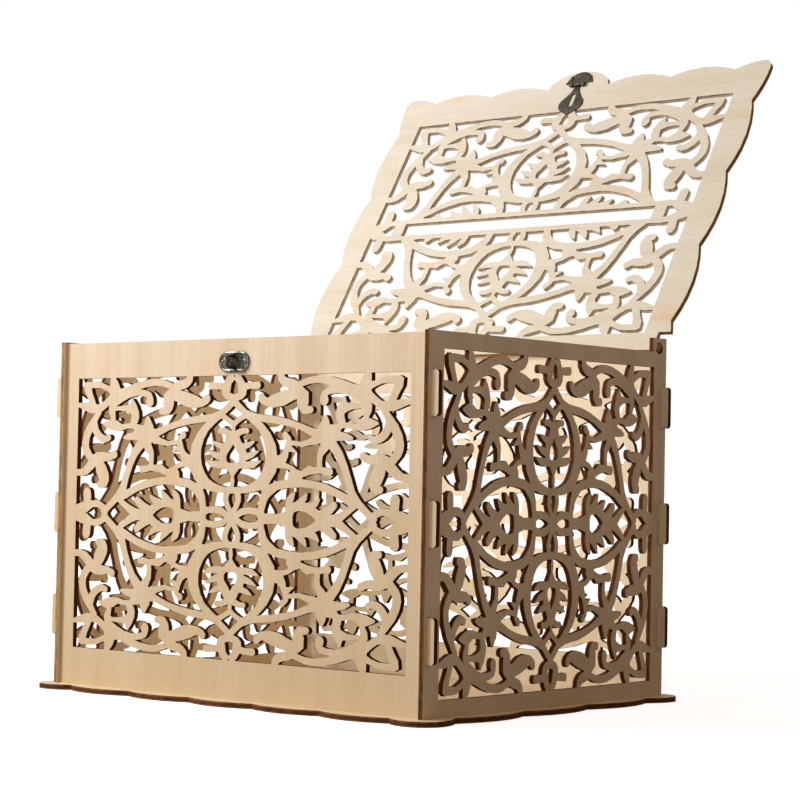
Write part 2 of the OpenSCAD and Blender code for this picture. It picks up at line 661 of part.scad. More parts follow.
module hasp_strap() {
    half = [for (q = curve([for (p = strap_half) [p.x, p.y, 0]]))
        [q.x * strap_w, q.y * strap_len]];
    color(bronze) on_lid() difference() {
        union() {
            translate([0, hasp_y, hasp_z + knuckle_r - leaf_t]) linear_extrude(leaf_t)
                difference() {
                    polygon(concat(half, [for (i = [len(half) - 2 : -1 : 0]) [-half[i].x, half[i].y]]));
                    for (k = [-1, 1])
                        translate([0, eye_mid + k * (eye_len - eye_w) / 2]) circle(eye_w / 2);
                    translate([0, eye_mid]) square([eye_w, eye_len - eye_w], center = true);
                }
            along_pin(-strap_knuckle / 2, strap_knuckle) circle(knuckle_r);
        }
        along_pin(-strap_w, 2 * strap_w) circle(pin_r + pin_fit);
    }
}

module hasp_screws() {
    color(bronze) on_lid() for (k = [-1, 1])
        translate([k * hasp_screws_apart / 2, fan_y - fan_h / 2, -ply / 2 - leaf_t])
            rotate([180, 0, 0]) screw(leaf_t);
}

// ---- catch, drawn with its middle at the origin and standing out along -Y ----------

module on_front() {
    translate([0, front_y, ply + catch_z]) rotate([90, 0, 0]) children();
}

module oval(w, h) {
    for (k = [-1, 1]) translate([k * (w - h) / 2, 0]) circle(d = h);
    square([w - h, h], center = true);
}

module catch_plate() {
    color(gunmetal) on_front() {
        linear_extrude(catch_t) difference() {
            oval(catch_w, catch_h);
            for (k = [-1, 1]) {
                translate([k * catch_screws_apart / 2, 0]) circle(shank_d / 2 + shank_fit);
                translate([0, k * (staple_h - staple_t) / 2])
                    square([staple_w + 2 * pin_fit, staple_t + 2 * pin_fit], center = true);
            }
        }
        translate([0, 0, catch_t]) linear_extrude(catch_rim) difference() {
            oval(catch_w, catch_h);
            oval(catch_w - 2 * rim_w, catch_h - 2 * rim_w);
        }
    }
}

// The staple's outline from the side: two legs joined by a half round
module staple_side(h, out) {
    translate([0, -h / 2]) square([out - h / 2, h]);
    translate([out - h / 2, 0]) circle(d = h);
}

module catch_staple() {
    eye = staple_h - 2 * staple_t;
    color(gunmetal) on_front() rotate([0, -90, 0]) translate([0, 0, -staple_w / 2])
        linear_extrude(staple_w) difference() {
            staple_side(staple_h, staple_out);
            translate([-1, 0]) staple_side(eye, staple_out - staple_t + 1);
        }
}

module catch_screws() {
    color(gunmetal) on_front() for (k = [-1, 1])
        translate([k * catch_screws_apart / 2, 0, catch_t]) screw(catch_t);
}

base_board();
front_panel();
back_panel();
left_panel();
right_panel();
lid();
hasp_plate();
hasp_pin();
hasp_strap();
hasp_screws();
catch_plate();
catch_staple();
catch_screws();
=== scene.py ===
import math

import bmesh
import bpy
from mathutils import Matrix, Vector


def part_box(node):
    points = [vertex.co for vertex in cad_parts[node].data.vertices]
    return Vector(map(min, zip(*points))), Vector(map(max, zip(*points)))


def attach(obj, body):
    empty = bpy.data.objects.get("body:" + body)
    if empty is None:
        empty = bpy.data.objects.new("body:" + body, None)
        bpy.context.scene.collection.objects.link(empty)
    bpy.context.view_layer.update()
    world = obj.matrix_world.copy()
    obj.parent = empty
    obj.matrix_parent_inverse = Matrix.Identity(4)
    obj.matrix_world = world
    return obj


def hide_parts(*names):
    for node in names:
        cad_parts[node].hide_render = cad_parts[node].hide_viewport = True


# A pierced plywood card box: birch veneer, laser-cut edges and small steel fittings.

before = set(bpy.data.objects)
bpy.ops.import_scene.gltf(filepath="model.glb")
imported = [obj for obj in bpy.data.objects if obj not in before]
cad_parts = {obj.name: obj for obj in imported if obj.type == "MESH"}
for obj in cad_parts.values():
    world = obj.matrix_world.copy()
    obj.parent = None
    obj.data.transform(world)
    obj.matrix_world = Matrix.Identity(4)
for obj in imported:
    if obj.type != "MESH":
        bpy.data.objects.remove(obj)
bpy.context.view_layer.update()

MM = 0.001

# ---- the box, as the frame has it ----------------------------------------------------

PLY = 3.0  # thickness of the sheets
BOX, LID, STRAP = "box", "lid", "strap"

# Birch veneer, each from its dark bands to its pale ones: a yellowish one, and two paler copies
# of it that are painted light, one for the back panel's brightly lit inner face and a greyer one
# for the strongly lit lid
YELLOW_VENEER = ("#DAC5A6", "#E1CDB2", "#E6D5BE")
BACK_VENEER_PAINTED_LIGHT = ("#DCCFB6", "#E2D6C0", "#E7DCCA")
LID_VENEER_PAINTED_LIGHT = ("#D3CAB8", "#D8D1C1", "#DDD7C9")


def three_plies(glow, char, depth):
    """The tones across a laser's cut, each with its place from face to face, and the tone of
    its soot: the glow of the outer plies, the char at faces and glue lines, the middle ply."""
    return (
        (0.0, char), (0.1, glow), (0.28, glow), (0.34, char), (0.42, depth),
        (0.6, depth), (0.67, char), (0.74, glow), (0.9, glow), (1.0, char),
    ), char


# Laser char on cut edges. The tones for pierced walls are darker than the outer edges' also as
# painted shade, for those walls stand in the holes' shade; the front and back panels' wall tones
# are a lighter copy of the others, painted light so that those walls read brown and not black.
TOASTED = three_plies("#C29B6A", "#7A5230", "#AF8757")
# Darker outer-edge tones; on the right panel they are painted shade for that panel's shaded
# side, where the left panel's edges take the toasted tones
BROWNED_AND_PAINTED_SHADE = three_plies("#80573A", "#3A2415", "#623F26")
CHAR_AND_PAINTED_SHADE = three_plies("#7E4E30", "#361D0E", "#5E3820")
CHAR_AND_LIGHTER_PAINTED_SHADE = three_plies("#8E5F40", "#452A1A", "#6E462C")

# Painted glare: the lid's cut walls, and their soot too, are painted near white for light from
# behind that grazes them, but for a brown line next to the inner face
PAINTED_GLARE = (
    (0.0, "#F8F0E0"), (0.55, "#F4E8D2"), (0.75, "#A4845E"), (1.0, "#8A6A48"),
), "#F8F0E0"

# Each sheet: the way its grain runs, how far in millimetres its outer edges reach inwards from
# its sides and from the grain's start and end, its veneer, how strong its streaks are, how much
# painted shade turns it ochre at the grain's start (the foot of a wall), its outer edges and its
# pierced walls
UPRIGHT, LEVEL = (0, 0, 1), (1, 0, 0)
SHEETS = {
    "base_board": (LEVEL, (6.5, 6.5, 6.5), YELLOW_VENEER, 0.25, 0.2, BROWNED_AND_PAINTED_SHADE, CHAR_AND_PAINTED_SHADE),
    "front_panel": (UPRIGHT, (0, 6, 6), YELLOW_VENEER, 0.25, 0.55, TOASTED, CHAR_AND_LIGHTER_PAINTED_SHADE),
    "back_panel": (UPRIGHT, (0, 6, 16), BACK_VENEER_PAINTED_LIGHT, 0.25, 0.0, TOASTED, CHAR_AND_LIGHTER_PAINTED_SHADE),
    "left_panel": (UPRIGHT, (3, 6, 15), YELLOW_VENEER, 0.25, 0.4, TOASTED, CHAR_AND_PAINTED_SHADE),
    "right_panel": (UPRIGHT, (3, 6, 15), YELLOW_VENEER, 0.25, 0.4, BROWNED_AND_PAINTED_SHADE, CHAR_AND_PAINTED_SHADE),
    "lid": (LEVEL, (8.5, 8.5, 8.5), LID_VENEER_PAINTED_LIGHT, 0.15, 0.0, TOASTED, PAINTED_GLARE),
}


class Sheet:
    """A flat sheet: its normal, where its lower face lies, and the axes of its grain."""

    def __init__(self, node, grain):
        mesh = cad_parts[node].data
        self.node = node
        largest = max(mesh.polygons, key=lambda face: face.area)
        self.normal = largest.normal.copy()
        run = Vector(grain)
        self.grain = (run - run.dot(self.normal) * self.normal).normalized()
        self.across = self.grain.cross(self.normal).normalized()
        self.low = min(vertex.co.dot(self.normal) for vertex in mesh.vertices)
        runs = [vertex.co.dot(self.grain) for vertex in mesh.vertices]
        self.start, self.end = min(runs), max(runs)
        self.axes = Matrix((self.across, self.normal, self.grain))


sheets = {node: Sheet(node, row[0]) for node, row in SHEETS.items()}


def axes_at(place, right, up, out):
    """Matrix from a fitting's own millimetres to the frame's metres."""
    turn = Matrix((right, up, out)).transposed().to_4x4()
    return Matrix.Translation(place) @ turn @ Matrix.Scale(MM, 4)


# ---- meshes --------------------------------------------------------------------------


WELD = 0.002 * MM  # vertices of one node this close are one vertex
FLAT_ANGLE = math.radians(1)
HARD_ANGLE = math.radians(40)
SHARP_ANGLE = math.radians(35)


def finish_piece(piece, body, node):
    """Shades a piece, parents it to its body's empty and hides the node it replaces."""
    piece.data.polygons.foreach_set("use_smooth", [True] * len(piece.data.polygons))
    piece.data.set_sharp_from_angle(angle=SHARP_ANGLE)
    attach(piece, body)
    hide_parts(node)


def new_piece(name, mesh):
    piece = bpy.data.objects.new(name, mesh)
    bpy.context.scene.collection.objects.link(piece)
    return piece


def softened(node, material, radius):
    """A copy of a fitting with its cut edges rounded off, as tumbling leaves them."""
    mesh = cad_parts[node].data.copy()
    shape = bmesh.new()
    shape.from_mesh(mesh)
    bmesh.ops.remove_doubles(shape, verts=shape.verts, dist=WELD)
    bmesh.ops.dissolve_limit(
        shape, angle_limit=FLAT_ANGLE, verts=shape.verts, edges=shape.edges
    )
    hard = [
        edge for edge in shape.edges
        if len(edge.link_faces) == 2 and edge.calc_face_angle() > HARD_ANGLE
    ]
    bmesh.ops.bevel(
        shape, geom=hard, offset=radius * MM, segments=2, profile=0.6,
        affect="EDGES", clamp_overlap=True,
    )
    bmesh.ops.recalc_face_normals(shape, faces=shape.faces)
    shape.to_mesh(mesh)
    shape.free()
    mesh.materials.clear()
    mesh.materials.append(material)
    return new_piece(node + "_worn", mesh)


# ---- materials -----------------------------------------------------------------------


def linear(colour):
    """sRGB hex colour to linear red, green, blue and alpha."""
    parts = [int(colour[k:k + 2], 16) / 255 for k in (1, 3, 5)]
    return [c / 12.92 if c <= 0.04045 else ((c + 0.055) / 1.055) ** 2.4 for c in parts] + [1.0]


def add(tree, kind, settings, inputs, output=None):
    """Adds a node and returns its output of that name, or else its first one that is in use.
    An input's value is a number, a colour, or the output or outputs that feed it."""
    node = tree.nodes.new(kind)
    for name, value in settings.items():
        setattr(node, name, value)
    for key, value in inputs.items():
        if isinstance(key, int):
            socket = node.inputs[key]
        else:
            socket = next(s for s in node.inputs if key in (s.identifier, s.name))
        sources = value if isinstance(value, list) else [value]
        if isinstance(sources[0], bpy.types.NodeSocket):
            for source in sources:
                tree.links.new(source, socket)
        else:
            socket.default_value = value
    if output:
        return node.outputs[output]
    return next((socket for socket in node.outputs if socket.enabled), None)


def start_material(name):
    """A new material with its Principled shader, and the tree it stands in."""
    material = bpy.data.materials.new(name)
    material.use_nodes = True
    tree = material.node_tree
    return material, tree, tree.nodes["Principled BSDF"]


def ramp(tone, stops):
    """Sets the stops of the colour ramp that gives this tone, each a place and a hex colour."""
    band = tone.node.color_ramp
    while len(band.elements) < len(stops):
        band.elements.new(0.5)
    for element, (place, colour) in zip(band.elements, stops):
        element.position = place
        element.color = linear(colour)


def sheet_coordinates(tree, sheet):
    """Millimetres on a sheet: x across the grain, y from one face to the other, z with it."""
    place = add(tree, "ShaderNodeTexCoord", {}, {}, "Object")
    laid = add(tree, "ShaderNodeMapping", {}, {
        "Vector": place,
        "Rotation": sheet.axes.to_euler(),
        "Location": (0, -sheet.low, 0),
    })
    return add(tree, "ShaderNodeVectorMath", {"operation": "SCALE"}, {
        "Vector": laid, "Scale": 1 / MM,
    })


def stretched(tree, coordinates, size, offset=(0, 0, 0)):
    """Coordinates for a pattern whose cells are size millimetres along x, y and z."""
    return add(tree, "ShaderNodeMapping", {}, {
        "Vector": coordinates,
        "Location": offset,
        "Scale": tuple(1 / s for s in size),
    })


def birch_veneer(sheet, seed, tones, streak_amount, ochre):
    """Rotary-cut birch face veneer, sanded: a pale cream with soft bands 20 mm wide, fine
    streaks 1 mm apart along the grain, a few orange flushes and short brown pores; and painted
    shade: an ochre tone that deepens towards the grain's start, the foot of the walls."""
    material, tree, shader = start_material("birch_veneer_" + sheet.node)
    at = sheet_coordinates(tree, sheet)
    shift = (seed * 7.3, 0, seed * 3.1)
    bands = add(tree, "ShaderNodeTexNoise", {}, {
        "Vector": stretched(tree, at, (19, 5, 230), shift), "Scale": 1.0, "Detail": 2.0,
    })
    streaks = add(tree, "ShaderNodeTexNoise", {}, {
        "Vector": stretched(tree, at, (1.3, 5, 75), shift), "Scale": 1.0, "Detail": 3.0,
    })
    flush = add(tree, "ShaderNodeTexNoise", {}, {
        "Vector": stretched(tree, at, (14, 5, 60), (9, seed, 4)), "Scale": 1.0, "Detail": 2.0,
    })
    pores = add(tree, "ShaderNodeTexNoise", {}, {
        "Vector": stretched(tree, at, (0.5, 5, 7), shift), "Scale": 1.0, "Detail": 1.0,
    })
    ground = add(tree, "ShaderNodeValToRGB", {}, {"Fac": bands})
    ramp(ground, tuple(zip((0.3, 0.5, 0.72), tones)))
    streak_tone = add(tree, "ShaderNodeValToRGB", {}, {"Fac": streaks})
    ramp(streak_tone, ((0.3, "#E2D2C0"), (0.6, "#FFFFFF")))
    streaked = add(tree, "ShaderNodeMix", {"data_type": "RGBA", "blend_type": "MULTIPLY"}, {
        "Factor_Float": streak_amount, "A_Color": ground, "B_Color": streak_tone,
    })
    flush_amount = add(tree, "ShaderNodeMapRange", {}, {
        "Value": flush, "From Min": 0.6, "From Max": 0.8, "To Min": 0.0, "To Max": 0.45,
    })
    flushed = add(tree, "ShaderNodeMix", {"data_type": "RGBA"}, {
        "Factor_Float": flush_amount, "A_Color": streaked, "B_Color": linear("#DDB27C"),
    })
    along = add(tree, "ShaderNodeSeparateXYZ", {}, {"Vector": at}, "Z")
    # Painted shade: the colour deepens to ochre towards the grain's start, the foot of the walls
    painted_shade_amount = add(tree, "ShaderNodeMapRange", {}, {
        "Value": along, "From Min": sheet.start / MM, "From Max": sheet.end / MM,
        "To Min": ochre, "To Max": 0.0,
    })
    with_painted_shade = add(tree, "ShaderNodeMix", {"data_type": "RGBA"}, {
        "Factor_Float": painted_shade_amount, "A_Color": flushed, "B_Color": linear("#B69C6E"),
    })
    pore_amount = add(tree, "ShaderNodeMapRange", {}, {
        "Value": pores, "From Min": 0.66, "From Max": 0.74, "To Min": 0.0, "To Max": 0.3,
    })
    colour = add(tree, "ShaderNodeMix", {"data_type": "RGBA"}, {
        "Factor_Float": pore_amount, "A_Color": with_painted_shade, "B_Color": linear("#A87F55"),
    })
    relief = add(tree, "ShaderNodeBump", {}, {
        "Height": streaks, "Strength": 0.15, "Distance": 0.05 * MM,
    })
    roughness = add(tree, "ShaderNodeMapRange", {}, {
        "Value": streaks, "To Min": 0.5, "To Max": 0.66,
    })
    tree.links.new(colour, shader.inputs["Base Color"])
    tree.links.new(roughness, shader.inputs["Roughness"])
    tree.links.new(relief, shader.inputs["Normal"])
    shader.inputs["Specular IOR Level"].default_value = 0.15
    return material


def cut_edge(sheet, name, tones):
    """A laser's cut through plywood: a dull brown that changes from ply to ply, with soot that
    comes and goes along the edge and fine ridges across it. The tones it is given also carry
    painted shade on pierced walls and on the right panel's outer edges, and painted glare on the
    lid's walls."""
    material, tree, shader = start_material(name + "_" + sheet.node)
    stops, soot = tones
    at = sheet_coordinates(tree, sheet)
    through = add(tree, "ShaderNodeSeparateXYZ", {}, {"Vector": at}, "Y")
    layer = add(tree, "ShaderNodeMath", {"operation": "DIVIDE"}, {0: through, 1: PLY})
    plies = add(tree, "ShaderNodeValToRGB", {}, {"Fac": layer})
    ramp(plies, stops)
    patches = add(tree, "ShaderNodeTexNoise", {}, {
        "Vector": stretched(tree, at, (6, 2.5, 6)), "Scale": 1.0, "Detail": 4.0,
    })
    soot_amount = add(tree, "ShaderNodeMapRange", {}, {
        "Value": patches, "From Min": 0.42, "From Max": 0.75, "To Min": 0.0, "To Max": 0.9,
    })
    colour = add(tree, "ShaderNodeMix", {"data_type": "RGBA"}, {
        "Factor_Float": soot_amount, "A_Color": plies, "B_Color": linear(soot),
    })
    ridges = add(tree, "ShaderNodeTexNoise", {}, {
        "Vector": stretched(tree, at, (0.35, 4, 0.35)), "Scale": 1.0, "Detail": 2.0,
    })
    relief = add(tree, "ShaderNodeBump", {}, {
        "Height": ridges, "Strength": 0.4, "Distance": 0.08 * MM,
    })
    tree.links.new(colour, shader.inputs["Base Color"])
    tree.links.new(relief, shader.inputs["Normal"])
    shader.inputs["Roughness"].default_value = 0.9
    shader.inputs["Specular IOR Level"].default_value = 0.04
    return material


def worn_metal(name, dark, bright, smooth, rough, wear_size):
    """Metal whose thin finish is rubbed: dark and bright patches, each with its gloss, over
    shallow dents that break up what it reflects."""
    material, tree, shader = start_material(name)
    place = add(tree, "ShaderNodeTexCoord", {}, {}, "Object")
    at = add(tree, "ShaderNodeVectorMath", {"operation": "SCALE"}, {
        "Vector": place, "Scale": 1 / MM,
    })
    patches = add(tree, "ShaderNodeTexNoise", {}, {
        "Vector": stretched(tree, at, (wear_size,) * 3), "Scale": 1.0, "Detail": 5.0,
    })
    tone = add(tree, "ShaderNodeValToRGB", {}, {"Fac": patches})
    ramp(tone, ((0.38, dark), (0.68, bright)))
    roughness = add(tree, "ShaderNodeMapRange", {}, {
        "Value": patches, "From Min": 0.35, "From Max": 0.7, "To Min": rough, "To Max": smooth,
    })
    grit = add(tree, "ShaderNodeTexNoise", {}, {
        "Vector": stretched(tree, at, (0.25,) * 3), "Scale": 1.0, "Detail": 2.0,
    })
    dents = add(tree, "ShaderNodeTexNoise", {}, {
        "Vector": stretched(tree, at, (1.6,) * 3), "Scale": 1.0, "Detail": 1.0,
    })
    dented = add(tree, "ShaderNodeBump", {}, {
        "Height": dents, "Strength": 0.6, "Distance": 0.35 * MM,
    })
    relief = add(tree, "ShaderNodeBump", {}, {
        "Height": grit, "Strength": 0.08, "Distance": 0.03 * MM, "Normal": dented,
    })
    tree.links.new(tone, shader.inputs["Base Color"])
    tree.links.new(roughness, shader.inputs["Roughness"])
    tree.links.new(relief, shader.inputs["Normal"])
    shader.inputs["Metallic"].default_value = 1.0
    return material


# Stamped steel browned in a chemical bath: nearly black, with a dull bronze sheen where rubbed
antiqued_steel = worn_metal("antiqued_steel", "#3F3932", "#544D44", 0.45, 0.6, 3.0)

# Stamped steel with a dark nickel plating: a cool grey gloss that shows the studio in streaks
dark_nickel = worn_metal("dark_nickel_plate", "#383530", "#7E7971", 0.24, 0.36, 2.2)

# Painted shade: the same plating made dark brown in the basin, dull, with hardly a gleam, for
# the shade and dark reflection inside the dish
basin_painted_shade = worn_metal("nickel_plate_painted_shade", "#241D17", "#4A4036", 0.4, 0.6, 2.5)


# ---- plywood sheets ------------------------------------------------------------------

FACE_DOT = 0.7  # a face whose normal is this near the sheet's is veneer, others are cuts
VENEER, OUTER_EDGE, PIERCED_WALL = 0, 1, 2


def dress_sheet(sheet, row, seed):
    """Gives a sheet its veneer, its outer edge and its pierced walls, face by face."""
    edge_reach, veneer, streaks, ochre, outer_tones, wall_tones = row
    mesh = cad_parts[sheet.node].data
    mesh.materials.clear()
    mesh.materials.append(birch_veneer(sheet, seed, veneer, streaks, ochre))
    mesh.materials.append(cut_edge(sheet, "toasted_edge", outer_tones))
    mesh.materials.append(cut_edge(sheet, "char_and_painted_light_wall", wall_tones))
    side_reach, start_reach, end_reach = (reach * MM for reach in edge_reach)
    sides = [vertex.co.dot(sheet.across) for vertex in mesh.vertices]
    low_side, high_side = min(sides), max(sides)
    for face in mesh.polygons:
        along, aside = face.center.dot(sheet.grain), face.center.dot(sheet.across)
        outer = (
            min(aside - low_side, high_side - aside) < side_reach
            or along - sheet.start < start_reach or sheet.end - along < end_reach
        )
        if abs(face.normal.dot(sheet.normal)) > FACE_DOT:
            face.material_index = VENEER
        else:
            face.material_index = OUTER_EDGE if outer else PIERCED_WALL


for seed, (node, row) in enumerate(SHEETS.items()):
    dress_sheet(sheets[node], row[1:], seed)



# ---- fittings grown from their sizes, in millimetres ---------------------------------

TREE_WELD = 0.001  # vertices of one tree this close are one vertex


def sized_tree(name, numbers, counts=()):
    """A new geometry tree with a named input for each size, and those inputs."""
    tree = bpy.data.node_groups.new(name, "GeometryNodeTree")
    tree.interface.new_socket("Geometry", in_out="OUTPUT", socket_type="NodeSocketGeometry")
    for number in numbers:
        tree.interface.new_socket(number, in_out="INPUT", socket_type="NodeSocketFloat")
    for count in counts:
        tree.interface.new_socket(count, in_out="INPUT", socket_type="NodeSocketInt")
    given = tree.nodes.new("NodeGroupInput")
    return tree, {o.name: o for o in given.outputs if o.name}


def finished(tree, geometry, material):
    """Gives the geometry its material and makes it plain."""
    plain = add(tree, "GeometryNodeRealizeInstances", {}, {"Geometry": geometry})
    return add(tree, "GeometryNodeSetMaterial", {}, {"Geometry": plain, "Material": material})


def result(tree, *parts):
    """Ends the tree with all these parts together."""
    whole = add(tree, "GeometryNodeJoinGeometry", {}, {"Geometry": list(parts)})
    add(tree, "NodeGroupOutput", {}, {"Geometry": whole})
    return tree


def grown(name, tree, sizes, place):
    """The piece that a geometry tree makes of these sizes, as a plain mesh in its place."""
    piece = new_piece(name, bpy.data.meshes.new(name + "_start"))
    modifier = piece.modifiers.new("sizes", "NODES")
    modifier.node_group = tree
    for item in tree.interface.items_tree:
        if item.in_out == "INPUT":
            modifier[item.identifier] = sizes[item.name]
    ready = piece.evaluated_get(bpy.context.evaluated_depsgraph_get())
    mesh = bpy.data.meshes.new_from_object(ready)
    piece.modifiers.remove(modifier)
    piece.data = mesh
    shape = bmesh.new()
    shape.from_mesh(mesh)
    bmesh.ops.remove_doubles(shape, verts=shape.verts, dist=TREE_WELD)
    bmesh.ops.recalc_face_normals(shape, faces=shape.faces)
    shape.to_mesh(mesh)
    shape.free()
    mesh.transform(place)
    return piece


def vector(tree, x=0.0, y=0.0, z=0.0):
    return add(tree, "ShaderNodeCombineXYZ", {}, {"X": x, "Y": y, "Z": z})


def moved(tree, geometry, **how):
    """The geometry after a Translation and Scale."""
    return add(tree, "GeometryNodeTransform", {}, {"Geometry": geometry, **how})


def calc(tree, operation, a, b):
    return add(tree, "ShaderNodeMath", {"operation": operation}, {0: a, 1: b})


ROUND_COUNT = 14  # points on each quarter of an oval's ends
NEAR_HALF = 0.499  # of an oval's height, so that its ends keep a short straight side
ROD_RESOLUTION = 20
BASIN_SHARE = 0.2  # of the bead's height, at which the basin's floor lies
SHANK_SINK = -0.49  # of the shank's length, so that its top ends inside the head


def oval_path(tree, length, height):
    """A closed path of two straight sides and two half rounds."""
    corners = add(tree, "GeometryNodeCurvePrimitiveQuadrilateral", {}, {
        "Width": length, "Height": height,
    })
    return add(tree, "GeometryNodeFilletCurve", {"mode": "POLY"}, {
        "Curve": corners, "Count": ROUND_COUNT,
        "Radius": calc(tree, "MULTIPLY", height, NEAR_HALF),
        "Limit Radius": True,
    })


def rolled_rod(tree, path, width, height):
    """A rod of oval section along a level path."""
    ring = add(tree, "GeometryNodeCurvePrimitiveCircle", {}, {
        "Resolution": ROD_RESOLUTION, "Radius": 0.5,
    })
    section = moved(tree, ring, Scale=vector(tree, width, height, 1.0))
    level = add(tree, "GeometryNodeSetCurveNormal", {"mode": "Z_UP"}, {"Curve": path})
    return add(tree, "GeometryNodeCurveToMesh", {}, {"Curve": level, "Profile Curve": section})


def slab(tree, path, thickness):
    """The flat sheet inside a path."""
    face = add(tree, "GeometryNodeFillCurve", {"mode": "NGONS"}, {"Curve": path})
    raised = add(tree, "GeometryNodeExtrudeMesh", {"mode": "FACES"}, {
        "Mesh": face, "Offset Scale": thickness, "Individual": False,
    }, "Mesh")
    under = add(tree, "GeometryNodeFlipFaces", {}, {"Mesh": face})
    return add(tree, "GeometryNodeJoinGeometry", {}, {"Geometry": [raised, under]})


def oval_plate_tree():
    """A stamped oval plate: rolled rim, flat web, and a bead round its dark basin."""
    tree, given = sized_tree("oval_plate", (
        "Length", "Height", "Rim width", "Rim height", "Web thickness",
        "Basin length", "Basin height", "Bead width", "Bead height",
    ))
    rim_length = calc(tree, "SUBTRACT", given["Length"], given["Rim width"])
    rim_height = calc(tree, "SUBTRACT", given["Height"], given["Rim width"])
    rim_path = oval_path(tree, rim_length, rim_height)
    rim = moved(
        tree, rolled_rod(tree, rim_path, given["Rim width"], given["Rim height"]),
        Translation=vector(tree, z=calc(tree, "MULTIPLY", given["Rim height"], 0.5)),
    )
    web = slab(tree, rim_path, given["Web thickness"])
    basin_path = oval_path(tree, given["Basin length"], given["Basin height"])
    bead = moved(
        tree, rolled_rod(tree, basin_path, given["Bead width"], given["Bead height"]),
        Translation=vector(tree, z=given["Web thickness"]),
    )
    basin = moved(
        tree, slab(tree, basin_path, calc(tree, "MULTIPLY", given["Bead height"], BASIN_SHARE)),
        Translation=vector(tree, z=given["Web thickness"]),
    )
    bright = finished(
        tree, add(tree, "GeometryNodeJoinGeometry", {}, {"Geometry": [rim, web, bead]}),
        dark_nickel,
    )
    return result(tree, bright, finished(tree, basin, basin_painted_shade))


def staple_tree():
    """A staple of flattened wire, whose closed end stands out of the wood."""
    tree, given = sized_tree("wire_staple", ("Length", "Height", "Wire depth", "Wire width"))
    path = oval_path(
        tree,
        calc(tree, "SUBTRACT", given["Length"], given["Wire depth"]),
        calc(tree, "SUBTRACT", given["Height"], given["Wire depth"]),
    )
    wire = rolled_rod(tree, path, given["Wire depth"], given["Wire width"])
    return result(tree, finished(tree, wire, dark_nickel))


def screws_tree(name, material):
    """Two round-headed screws with cross recesses, each turned as the driver left it."""
    tree, given = sized_tree(name, (
        "Apart", "Head radius", "Head height", "Dome radius", "Shank radius", "Shank length",
        "Recess length", "Recess width", "Recess depth",
    ), ("Seed",))
    ball = add(tree, "GeometryNodeMeshUVSphere", {}, {
        "Segments": 40, "Rings": 44, "Radius": given["Dome radius"],
    }, "Mesh")
    dome = moved(tree, ball, Translation=vector(
        tree, z=calc(tree, "SUBTRACT", given["Head height"], given["Dome radius"]),
    ))
    blank = add(tree, "GeometryNodeMeshCylinder", {}, {
        "Vertices": 40, "Radius": given["Head radius"],
        "Depth": calc(tree, "MULTIPLY", given["Head height"], 2.0),
    }, "Mesh")
    blank = moved(tree, blank, Translation=vector(tree, z=given["Head height"]))
    head = add(tree, "GeometryNodeMeshBoolean", {"operation": "INTERSECT"}, {
        "Mesh 2": [dome, blank],
    }, "Mesh")
    slots = []
    for long, wide in (("Recess length", "Recess width"), ("Recess width", "Recess length")):
        cube = add(tree, "GeometryNodeMeshCube", {}, {
            "Size": vector(
                tree, given[long], given[wide],
                calc(tree, "MULTIPLY", given["Recess depth"], 2.0),
            ),
        }, "Mesh")
        slots.append(moved(tree, cube, Translation=vector(tree, z=given["Head height"])))
    cut = add(tree, "GeometryNodeMeshBoolean", {"operation": "DIFFERENCE"}, {
        "Mesh 1": head, "Mesh 2": slots,
    }, "Mesh")
    shank = add(tree, "GeometryNodeMeshCylinder", {}, {
        "Vertices": 20, "Radius": given["Shank radius"], "Depth": given["Shank length"],
    }, "Mesh")
    shank = moved(tree, shank, Translation=vector(
        tree, z=calc(tree, "MULTIPLY", given["Shank length"], SHANK_SINK),
    ))
    screw = add(tree, "GeometryNodeJoinGeometry", {}, {"Geometry": [cut, shank]})
    half = calc(tree, "MULTIPLY", given["Apart"], 0.5)
    ends = add(tree, "GeometryNodeMeshLine", {"mode": "END_POINTS"}, {
        "Count": 2, "Start Location": vector(tree, x=calc(tree, "MULTIPLY", half, -1.0)),
        "Offset": vector(tree, x=half),
    })
    turned = add(tree, "FunctionNodeRandomValue", {"data_type": "FLOAT"}, {
        "Min_001": 0.0, "Max_001": math.pi / 2, "Seed": given["Seed"],
    })
    placed = add(tree, "GeometryNodeInstanceOnPoints", {}, {
        "Points": ends, "Instance": screw, "Rotation": vector(tree, z=turned),
    })
    return result(tree, finished(tree, placed, material))


# ---- hasp and catch ------------------------------------------------------------------

HEAD_RADIUS = 1.6  # of the screws
HEAD_HEIGHT = 0.8
HEAD_WALL = 0.15  # upright edge of the head below its dome
SCREW = {
    "Head radius": HEAD_RADIUS,
    "Head height": HEAD_HEIGHT,
    "Dome radius": (HEAD_RADIUS ** 2 + (HEAD_HEIGHT - HEAD_WALL) ** 2)
    / (2 * (HEAD_HEIGHT - HEAD_WALL)),
    "Shank radius": 0.7,
    "Shank length": 3.0,
    "Recess length": 1.7,
    "Recess width": 0.42,
    "Recess depth": 0.4,
}
HASP_SCREWS_APART = 14.0
CATCH_SCREWS_APART = 16.8
WEB = 0.8  # thickness of the catch's plate
PLATE_SHORTER, PLATE_LOWER = 1.2, 0.5  # than the room that the frame gives the plate
STAPLE_ROOT = 2.0  # depth of the staple in the wood
STAPLE_DEPTH, STAPLE_WIDTH = 1.6, 2.0
EDGE_ROUNDING = 0.12  # of the hasp's stamped parts

